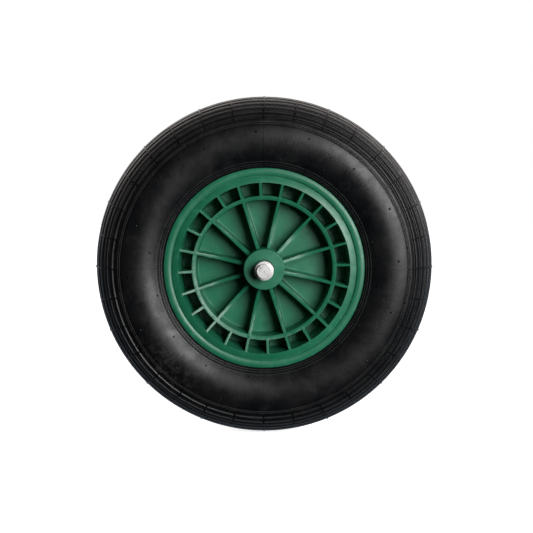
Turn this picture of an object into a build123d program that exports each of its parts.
"""Pneumatic wheelbarrow wheel: ribbed tyre and tube on a two-part plastic rim, with roller bearings.

Frame: the origin is the centre of the wheel, on its axle and in its middle plane. +Y runs along
the axle, +Z is up, and the open front of the wheel faces -Y. Everything is in millimetres.
Sections are drawn as (radius, height), where height is the distance from the middle plane.
"""
from build123d import *
import os
from math import cos, radians, sin, sqrt, tan

# ---------------------------------------------------------------- driving dimensions
TYRE_OD = 400.0             # 4.00-8 tyre, inflated
SECTION_R = 50.0            # half of the tyre's 100 mm section width
TYRE_WALL_R = 44.5          # inner radius of the tyre's section
TYRE_WALL_CENTRE = 147.6    # its centre lies nearer the axle, so the tread is thicker
RIM_FLANGE_R = 116.3        # outer edge of the rolled lip
FLANGE_INNER = 34.0         # inner face of each flange, half of the 68 mm bead width
SEAT_R = 101.8              # bead seat at the flange, for an 8 inch bead
GROOVE_R = 88.0             # bottom of the groove that the back half leaves for the valve's foot
GROOVE_WIDTH_BACK = 11.2
BARREL_MIDDLE_R = 100.2     # outside of the barrel where the halves meet
WALL = 4.0                  # plastic wall of the rim

POCKET_COUNT = 24
SPOKE_COUNT = 12
POCKET_PHASE = 2.6          # degrees from +X to the first pocket rib
BACK_CLOCK = 4.9            # the back half is turned so that a pocket's centre is at the bottom
POCKET_OUTER_R = 99.5
RING_OUTER_R = 83.8
RING_INNER_R = 79.7
POCKET_RIB = 2.7
SPOKE_AT_RING = 3.4
SPOKE_AT_HUB = 4.6
LIP_CREST = 39.9            # height of the lip and of the pockets' outer edge
VALLEY_R = 52.0             # lowest point of the spokes' dished edge
VALLEY_H = 25.0
SPOKE_ROOT_H = 34.5         # where the spokes meet the hub
WEB_TOP = 5.5
WEB_BOTTOM = 2.0
FRONT_POCKET_FLOOR = 3.5
BACK_POCKET_FLOOR = 14.8
DRAFT = 1.5                 # degrees, on the walls of every pocket and panel
POCKET_WALL_DRAFT = 4.5     # degrees, on the outer wall of the deep front pockets

HUB_R = 23.5                # hub barrel and cap
HUB_ROOT_R = 24.6
HUB_END = 46.0
CAP_FACE = 49.0
SLEEVE_OUTER_R = 18.0
SLEEVE_INNER_R = 16.0       # race that the rollers run in
SLEEVE_END = 43.0

SHAFT_R = 11.0
STUB_R = 8.5                # turned-down ends that sit in the fork
SHOULDER = 65.0             # half of the distance between the axle's shoulders
AXLE_END = 71.0
RUNNING_GAP = 0.05          # radial clearance of each roller
ROLLER_COUNT = 12
ROLLER_LENGTH = 20.0
CAGE_INNER = 14.6           # height of each cage's inner and outer end
CAGE_OUTER = 38.2
WASHER_TOP = 39.8
CLIP_TOP = 41.1
CLIP_GROOVE_R = 10.5

TREAD_GROOVES = 6           # on each side of the crown rib
FIRST_GROOVE = 30.0         # degrees round the section from the side of the wheel
GROOVE_PITCH = 10.0
GROOVE_WIDTH = 1.8
GROOVE_DEPTH = 2.0

TUBE_GAP = 0.4              # between the inner tube and the tyre
TUBE_WALL = 1.5
TUBE_SEAT_R = 101.4
TUBE_GROOVE_R = 88.5
TUBE_GROOVE_BACK = 9.4      # height of the tube's flat side in the groove, where the valve stands
TUBE_GROOVE_FRONT = 0.3
WIRE_R = 2.2                # bead wire bundle
WIRE_RING_R = 107.0
WIRE_HEIGHT = 28.2

VALVE_R = 93.7              # the valve's distance from the axle, straight below it
VALVE_HOLE_R = 4.6
STEM_TIP = 36.0             # height of the valve's open end
THREAD_R = 3.85
CORE_R = 2.0
CAP_OUTER_R = 4.6

MIDDLE_TO_FRONT = -1.0      # heights on the front lie along -Y

os.makedirs("parts", exist_ok=True)


# ---------------------------------------------------------------- helpers
def rounded_outline(corners):
    """Closed face through (x, y, rounding) corners, where rounding is the radius of that corner."""
    starts = []
    ends = []
    arcs = []
    for k, (x, y, rounding) in enumerate(corners):
        corner = Vector(x, y)
        before = (Vector(*corners[k - 1][:2]) - corner).normalized()
        after = (Vector(*corners[(k + 1) % len(corners)][:2]) - corner).normalized()
        half_angle = radians(before.get_angle(after)) / 2
        setback = rounding / tan(half_angle)
        bisector = (before + after).normalized()
        starts.append(corner + before * setback)
        ends.append(corner + after * setback)
        arcs.append(corner + bisector * (rounding / sin(half_angle) - rounding))
    edges = []
    for k, (x, y, rounding) in enumerate(corners):
        if rounding:
            edges.append(ThreePointArc(starts[k], arcs[k], ends[k]))
        edges.append(Line(ends[k], starts[(k + 1) % len(corners)]))
    return make_face(Curve() + edges)


def section(corners):
    """Closed face through (radius, height, rounding) corners, on the wheel's front side."""
    return rounded_outline([(r, MIDDLE_TO_FRONT * h, rounding) for r, h, rounding in corners])


def turned(corners):
    """Solid of revolution about the wheel's axle."""
    return revolve(section(corners), Axis.Y, 360)


def tube_between(inner, outer, low, high):
    """Plain ring about the axle between two radii and two heights."""
    return turned([(inner, low, 0), (outer, low, 0), (outer, high, 0), (inner, high, 0)])


def at_angle(solid, degrees):
    """Turn a solid about the axle, anticlockwise as the front shows it."""
    return Rot(0, -degrees, 0) * solid


def to_back(solid):
    return mirror(solid, about=Plane.XZ)


def plan_at(height):
    """Drawing plane across the axle, at a height on the front, facing the middle plane."""
    return Plane(origin=(0, MIDDLE_TO_FRONT * height, 0), x_dir=(1, 0, 0), z_dir=(0, 1, 0))


def save(name, shape):
    export_step(shape, f"parts/{name}.step")


def save_pair(name, front):
    save(f"{name}_front", front)
    save(f"{name}_back", to_back(front))


# ---------------------------------------------------------------- rim
def sector_corners(inner, outer, half_angle, half_rib_inner, half_rib_outer):
    """Four corners of the gap between two ribs, and the middle of its outer arc."""
    corners = []
    for side in (-1, 1):
        along = (cos(half_angle), side * sin(half_angle))
        across = (sin(half_angle), -side * cos(half_angle))
        for reach, half_rib in ((inner, half_rib_inner), (outer, half_rib_outer)):
            run = sqrt(reach ** 2 - half_rib ** 2)
            corners.append(tuple(run * a + half_rib * n for a, n in zip(along, across)))
    return corners


def sector_face(inner, outer, half_angle, half_rib_inner, half_rib_outer):
    low_in, low_out, high_in, high_out = sector_corners(
        inner, outer, half_angle, half_rib_inner, half_rib_outer)
    edges = [
        Line(low_in, low_out),
        ThreePointArc(low_out, (outer, 0), high_out),
        Line(high_out, high_in),
        ThreePointArc(high_in, (inner, 0), low_in),
    ]
    return make_face(Curve() + edges)


def cutter(face, top, floor, corner_rounding, floor_rounding):
    """Drafted plug that leaves one pocket, narrower at its floor."""
    face = fillet(face.vertices(), corner_rounding)
    plug = extrude(plan_at(top) * face, top - floor, taper=DRAFT)
    floor_face = plug.faces().sort_by(Axis.Y)[-1]
    return fillet(floor_face.edges(), floor_rounding)


def panel_cutter():
    """Space between two spokes, from inside the hub to the ring."""
    top = 36.0
    growth = (top - VALLEY_H) * tan(radians(DRAFT))
    face = sector_face(HUB_R - 3.0, RING_INNER_R, radians(180 / SPOKE_COUNT),
                       SPOKE_AT_HUB / 2 - growth, SPOKE_AT_RING / 2 - growth)
    return cutter(face, top, WEB_TOP, 1.5, 1.2)


def pocket_cutter(floor):
    """Space between two pocket ribs, from the ring to the rim's outer band."""
    top = 41.0
    growth = 4.0 * tan(radians(DRAFT))
    half_rib = POCKET_RIB / 2 - growth
    face = sector_face(RING_OUTER_R, POCKET_OUTER_R, radians(180 / POCKET_COUNT), half_rib, half_rib)
    return cutter(face, top, floor, 1.2, 1.0)


def deep_pocket_cutter(floor):
    """Pocket whose outer wall leans in towards its floor, as the mould's long core needs."""
    lean = (LIP_CREST - floor) * tan(radians(POCKET_WALL_DRAFT))
    core = turned([
        (RING_OUTER_R - 2.0, floor - 1.0, 0),
        (POCKET_OUTER_R - lean, floor - 1.0, 0),
        (POCKET_OUTER_R, LIP_CREST, 0),
        (POCKET_OUTER_R, LIP_CREST + 2.0, 0),
        (RING_OUTER_R - 2.0, LIP_CREST + 2.0, 0),
    ])
    return pocket_cutter(floor) & core


def rim_half(pocket, barrel_corners):
    """One moulding: hub barrel, web, spokes, ring, pockets, bead seat and flange."""
    dish_slope = (LIP_CREST - VALLEY_H) / (POCKET_OUTER_R - VALLEY_R)
    inside_hub = 21.0
    root_height = SPOKE_ROOT_H + (HUB_R - inside_hub) * (SPOKE_ROOT_H - VALLEY_H) / (VALLEY_R - HUB_R)
    body = turned([
        (inside_hub, WEB_BOTTOM, 0),
        (inside_hub, root_height, 0),
        (VALLEY_R, VALLEY_H, 45.0),
        (POCKET_OUTER_R, VALLEY_H + dish_slope * (POCKET_OUTER_R - VALLEY_R), 0.5),
        (106.6, 37.9, 0),
        (106.75, 36.9, 0),
        (107.55, 36.9, 0),
        (107.8, 38.75, 0.4),
        (112.0, 40.9, 8.6),
        (RIM_FLANGE_R - 0.1, 38.75, 1.0),
        (RIM_FLANGE_R, 36.9, 0.8),
        (113.0, 34.5, 3.0),
        (SEAT_R, FLANGE_INNER, 2.5),
        *barrel_corners,
        (GROOVE_R - WALL, 0, 0),
        (GROOVE_R - WALL, WEB_BOTTOM, 1.0),
    ])
    panel = panel_cutter()
    spoke_step = 360 / SPOKE_COUNT
    pocket_step = 360 / POCKET_COUNT
    spoke_phase = POCKET_PHASE + pocket_step
    cuts = [at_angle(panel, spoke_phase + (k + 0.5) * spoke_step) for k in range(SPOKE_COUNT)]
    cuts += [at_angle(pocket, POCKET_PHASE + (k + 0.5) * pocket_step) for k in range(POCKET_COUNT)]
    hub = turned([
        (SLEEVE_OUTER_R, 0, 0),
        (HUB_ROOT_R, 0, 0),
        (HUB_ROOT_R, WEB_BOTTOM, 0),
        (HUB_R, HUB_END, 0),
        (SLEEVE_OUTER_R, HUB_END, 0),
    ])
    return body.cut(*cuts) + hub


def rim_halves():
    front = rim_half(deep_pocket_cutter(FRONT_POCKET_FLOOR), [(BARREL_MIDDLE_R, 0, 0)])
    grooved = rim_half(pocket_cutter(BACK_POCKET_FLOOR), [
        (SEAT_R - 1.4, GROOVE_WIDTH_BACK + 1.4, 2.0),
        (GROOVE_R, GROOVE_WIDTH_BACK, 2.5),
        (GROOVE_R, 0, 0),
    ])
    back = at_angle(to_back(grooved), BACK_CLOCK)
    hole = on_valve_axis(Cylinder(VALVE_HOLE_R, 12.0), 13.0)
    return front, back - hole


# ---------------------------------------------------------------- tyre and tube
def on_section(degrees, radius):
    """Point on the tyre's section circle, measured round from the side of the wheel."""
    crown = TYRE_OD / 2 - SECTION_R
    return crown + radius * sin(radians(degrees)), radius * cos(radians(degrees))


def tread_groove(degrees):
    """Rounded notch across the section circle."""
    r, h = on_section(degrees, SECTION_R)
    notch = Rectangle(GROOVE_WIDTH, 2 * GROOVE_DEPTH)
    return Pos(r, h) * Rot(0, 0, -degrees) * notch


def tyre_half_section():
    """Area of the tyre's section on one side of the middle plane, drawn with height upwards."""
    joint_r, joint_h = on_section(-27.4, SECTION_R)
    crown_r = TYRE_OD / 2
    shoulder = on_section(35.0, SECTION_R)
    inner_crown = TYRE_WALL_CENTRE + TYRE_WALL_R
    inner_low_r = 118.0
    inner_low_h = sqrt(TYRE_WALL_R ** 2 - (TYRE_WALL_CENTRE - inner_low_r) ** 2)
    inner_side = (TYRE_WALL_CENTRE + TYRE_WALL_R * sin(radians(20)), TYRE_WALL_R * cos(radians(20)))
    clear = 0.1
    toe_h = 19.5
    seat_h = FLANGE_INNER - clear
    seat_r = SEAT_R + clear
    edges = [
        ThreePointArc((crown_r, 0), shoulder, (joint_r, joint_h)),
        Line((joint_r, joint_h), (112.5, seat_h)),
        Line((112.5, seat_h), (seat_r, seat_h)),
        Line((seat_r, seat_h), (seat_r, toe_h)),
        Line((seat_r, toe_h), (inner_low_r, inner_low_h)),
        ThreePointArc((inner_low_r, inner_low_h), inner_side, (inner_crown, 0)),
        Line((inner_crown, 0), (crown_r, 0)),
    ]
    face = make_face(Curve() + edges)
    for point, rounding in (((112.5, seat_h), 5.0), ((seat_r, seat_h), 3.2), ((seat_r, toe_h), 1.0)):
        face = fillet(face.vertices().sort_by_distance(point)[0], rounding)
    angles = [FIRST_GROOVE + k * GROOVE_PITCH for k in range(TREAD_GROOVES)]
    return face - [tread_groove(a) for a in angles]


def tyre():
    half = tyre_half_section()
    whole = half + mirror(half, about=Plane.XZ)
    solid = revolve(whole, Axis.Y, 360)
    return solid - bead_wire() - to_back(bead_wire())


def bead_wire():
    return Pos(0, MIDDLE_TO_FRONT * WIRE_HEIGHT, 0) * Rot(90, 0, 0) * Torus(WIRE_RING_R, WIRE_R)


def tube_outline(shrink):
    """Outline of the inner tube, moved inwards by shrink, with its back side at positive heights."""
    radius = TYRE_WALL_R - TUBE_GAP - shrink
    low_r = 118.4 + 0.6 * shrink
    low_h = sqrt(radius ** 2 - (TYRE_WALL_CENTRE - low_r) ** 2)
    crown = TYRE_WALL_CENTRE + radius
    corner_r = 102.6 + 0.75 * shrink
    corner_h = 18.7 - 0.65 * shrink
    seat_r = TUBE_SEAT_R + shrink
    groove_r = TUBE_GROOVE_R + shrink
    groove_back = TUBE_GROOVE_BACK - shrink
    groove_front = TUBE_GROOVE_FRONT + shrink
    corners = [
        (low_r, low_h), (corner_r, corner_h), (seat_r, groove_back), (groove_r, groove_back),
        (groove_r, groove_front), (seat_r, groove_front), (seat_r, -groove_back),
        (corner_r, -corner_h), (low_r, -low_h),
    ]
    crown_arc = ThreePointArc((low_r, -low_h), (crown, 0), (low_r, low_h))
    return make_face(Curve() + [Line(a, b) for a, b in zip(corners, corners[1:])] + [crown_arc])


def inner_tube():
    wall = tube_outline(0) - tube_outline(TUBE_WALL)
    return revolve(wall, Axis.Y, 360) - on_valve_axis(Cylinder(2.8, 4.0), 9.0)


# ---------------------------------------------------------------- hub and bearings
def hub_sleeve():
    return tube_between(SLEEVE_INNER_R, SLEEVE_OUTER_R, -SLEEVE_END, SLEEVE_END)


def bearing_spacer():
    gap = 0.2
    return tube_between(13.5, SLEEVE_INNER_R, -CAGE_INNER + gap, CAGE_INNER - gap)


def roller_places():
    return [k * 360 / ROLLER_COUNT for k in range(ROLLER_COUNT)]


def roller(radius, length):
    pitch_r = (SHAFT_R + SLEEVE_INNER_R) / 2
    middle = (CAGE_INNER + CAGE_OUTER) / 2
    return Pos(pitch_r, MIDDLE_TO_FRONT * middle, 0) * Rot(90, 0, 0) * Cylinder(radius, length)


def rollers():
    radius = (SLEEVE_INNER_R - SHAFT_R) / 2 - RUNNING_GAP
    one = roller(radius, ROLLER_LENGTH)
    return Compound([at_angle(one, a) for a in roller_places()])


def roller_cage():
    """Plastic ring with one window for each roller."""
    ring = tube_between(SHAFT_R + 0.3, SLEEVE_INNER_R - 0.3, CAGE_INNER, CAGE_OUTER)
    window = roller((SLEEVE_INNER_R - SHAFT_R) / 2 + 0.05, ROLLER_LENGTH + 0.4)
    return ring.cut(*[at_angle(window, a) for a in roller_places()])


def thrust_washer():
    return tube_between(SHAFT_R + 0.1, 15.5, CAGE_OUTER + 0.2, WASHER_TOP)


def circlip():
    """Open spring ring in the axle's groove, with two eyed ends."""
    ring = tube_between(CLIP_GROOVE_R, 13.2, WASHER_TOP, CLIP_TOP)
    thickness = CLIP_TOP - WASHER_TOP
    middle = MIDDLE_TO_FRONT * (CLIP_TOP + WASHER_TOP) / 2
    gap = Pos(0, middle, 13.0) * Box(7.0, 2 * thickness, 8.0)
    clip = ring - gap
    for side in (-1, 1):
        eye = Pos(side * 4.6, middle, 12.4) * Rot(90, 0, 0) * Cylinder(2.2, thickness)
        hole = Pos(side * 4.6, middle, 12.8) * Rot(90, 0, 0) * Cylinder(0.9, 2 * thickness)
        clip = clip + eye - hole
    return clip - tube_between(0, CLIP_GROOVE_R, WASHER_TOP - 1, CLIP_TOP + 1)


def hub_cap():
    """Plastic cap that closes the hub, with a spigot in the barrel and a hole for the axle."""
    return turned([
        (SHAFT_R + 0.6, HUB_END, 0),
        (SHAFT_R + 0.6, CAP_FACE, 0.5),
        (HUB_R, CAP_FACE, 0.8),
        (HUB_R, HUB_END, 0),
        (SLEEVE_OUTER_R, HUB_END, 0),
        (SLEEVE_OUTER_R, SLEEVE_END + 0.1, 0.4),
        (15.4, SLEEVE_END + 0.1, 0),
        (15.4, HUB_END, 0),
    ])


def dust_seal():
    """Rubber ring in the cap, with a lip close to the axle."""
    return turned([
        (SHAFT_R + 0.1, 44.3, 0),
        (SHAFT_R + 0.1, 44.9, 0),
        (12.6, HUB_END, 0),
        (15.4, HUB_END, 0),
        (15.4, SLEEVE_END + 0.3, 0),
        (12.6, SLEEVE_END + 0.3, 0),
    ])


def axle():
    """Steel bar with a groove for each circlip and a turned-down stub at each end."""
    half = turned([
        (0, 0, 0),
        (SHAFT_R, 0, 0),
        (SHAFT_R, WASHER_TOP, 0),
        (CLIP_GROOVE_R, WASHER_TOP, 0),
        (CLIP_GROOVE_R, CLIP_TOP, 0),
        (SHAFT_R, CLIP_TOP, 0),
        (SHAFT_R, SHOULDER, 0.6),
        (STUB_R, SHOULDER, 0),
        (STUB_R, AXLE_END, 0.6),
        (0, AXLE_END, 0),
    ])
    centre_mark = Pos(0, MIDDLE_TO_FRONT * AXLE_END, 0) * Rot(-90, 0, 0) * Cone(1.6, 0.2, 2.8)
    half = half - centre_mark
    return half + to_back(half)


# ---------------------------------------------------------------- valve, in a pocket of the back half
def on_valve_axis(solid, height):
    """Stand a solid, made along Z about its own centre, on the valve's axis at a back height."""
    return Pos(0, height, -VALVE_R) * Rot(-90, 0, 0) * solid


def valve_turned(corners):
    """Solid of revolution about the valve's axis, through (radius, height) corners."""
    face = make_face(Polyline(*corners, close=True))
    return Pos(0, 0, -VALVE_R) * revolve(face, Axis.Y, 360)


def valve_foot():
    """Rubber base and sleeve, vulcanised to the tube and through the hole in the rim."""
    return valve_turned([
        (2.8, TUBE_GROOVE_BACK), (4.6, TUBE_GROOVE_BACK), (4.6, 10.6), (4.3, 11.0),
        (4.3, 22.0), (3.85, 26.0), (2.8, 26.0),
    ])


def valve_stem():
    """Brass tube with a threaded tip, bored out at the top for the core."""
    pitch = 0.8
    start = 27.0
    turns = int((STEM_TIP - 0.6 - start) / pitch)
    tip = []
    for k in range(turns):
        low = start + k * pitch
        tip += [(THREAD_R, low), (THREAD_R, low + 0.3), (THREAD_R - 0.4, low + 0.55)]
    return valve_turned([
        (1.3, 7.5), (2.8, 7.5), (2.8, 26.0), (THREAD_R - 0.4, 26.0), (THREAD_R - 0.4, start - 0.2),
        *tip,
        (THREAD_R, start + turns * pitch), (THREAD_R, STEM_TIP - 0.4), (THREAD_R - 0.4, STEM_TIP),
        (2.2, STEM_TIP), (2.2, 27.4), (1.7, 26.6), (1.7, 17.0), (1.3, 16.4),
    ])


def valve_core():
    """Barrel below and threaded plug above, hollow for the pin and its spring."""
    body = valve_turned([
        (0.6, 21.0), (1.55, 21.0), (1.55, 26.4), (1.3, 26.5), (1.3, 28.8), (CORE_R, 29.0),
        (CORE_R, 34.0), (1.0, 34.6), (0.55, 34.6), (0.55, 32.4), (1.25, 32.4), (1.25, 21.8), (0.6, 21.8),
    ])
    slot = on_valve_axis(Box(0.7, 6.0, 1.2), 34.4)
    return body - slot


def core_seal():
    """Sealing ring round the waist of the core."""
    return valve_turned([(1.3, 26.6), (1.68, 26.8), (2.15, 27.7), (2.15, 28.6), (1.3, 28.7)])


def valve_pin():
    """Pin through the core, with a collar for the spring and a stop inside the barrel."""
    return valve_turned([
        (0, 19.6), (0.45, 19.6), (0.45, 30.9), (0.95, 30.9), (0.95, 31.5), (0.45, 31.5),
        (0.45, 35.4), (0.3, 35.6), (0, 35.6),
    ])


def pin_seal():
    """Cup on the pin's lower end, which closes the barrel."""
    return valve_turned([(0.45, 19.8), (1.45, 19.8), (1.45, 20.7), (1.2, 20.95), (0.45, 20.95)])


def valve_spring():
    """Coil between the barrel's shoulder and the pin's collar."""
    wire = 0.13
    height = 8.6
    helix = Helix(pitch=1.2, height=height, radius=0.85)
    start = Plane(origin=helix @ 0, z_dir=helix % 0)
    coil = sweep(start * Circle(wire), path=helix, is_frenet=True)
    return on_valve_axis(coil, 30.7 - height)


def valve_cap():
    """Screw cap with a fluted grip."""
    body = valve_turned([
        (THREAD_R + 0.15, 29.6), (CAP_OUTER_R, 29.6), (CAP_OUTER_R, 37.6), (CAP_OUTER_R - 0.7, 38.4),
        (0, 38.4), (0, 37.0), (THREAD_R + 0.15, 37.0),
    ])
    flute_count = 16
    flute = Pos(CAP_OUTER_R + 0.25, 0, 0) * Cylinder(0.5, 6.0)
    flutes = [Rot(0, 0, k * 360 / flute_count) * flute for k in range(flute_count)]
    return body.cut(*[on_valve_axis(f, 33.2) for f in flutes])


def cap_seal():
    return on_valve_axis(Cylinder(THREAD_R - 0.05, 0.8), 36.6)


# ---------------------------------------------------------------- write every node
rim_front, rim_back = rim_halves()
save("rim_front_half", rim_front)
save("rim_back_half", rim_back)
save("tyre", tyre())
save_pair("bead_wire", bead_wire())
save("inner_tube", inner_tube())
save("axle", axle())
save("hub_sleeve", hub_sleeve())
save("bearing_spacer", bearing_spacer())
save_pair("roller_cage", roller_cage())
save_pair("rollers", rollers())
save_pair("thrust_washer", thrust_washer())
save_pair("circlip", circlip())
save_pair("hub_cap", hub_cap())
save_pair("dust_seal", dust_seal())
save("valve_foot", valve_foot())
save("valve_stem", valve_stem())
save("valve_core", valve_core())
save("valve_core_seal", core_seal())
save("valve_pin", valve_pin())
save("valve_pin_seal", pin_seal())
save("valve_spring", valve_spring())
save("valve_cap", valve_cap())
save("valve_cap_seal", cap_seal())
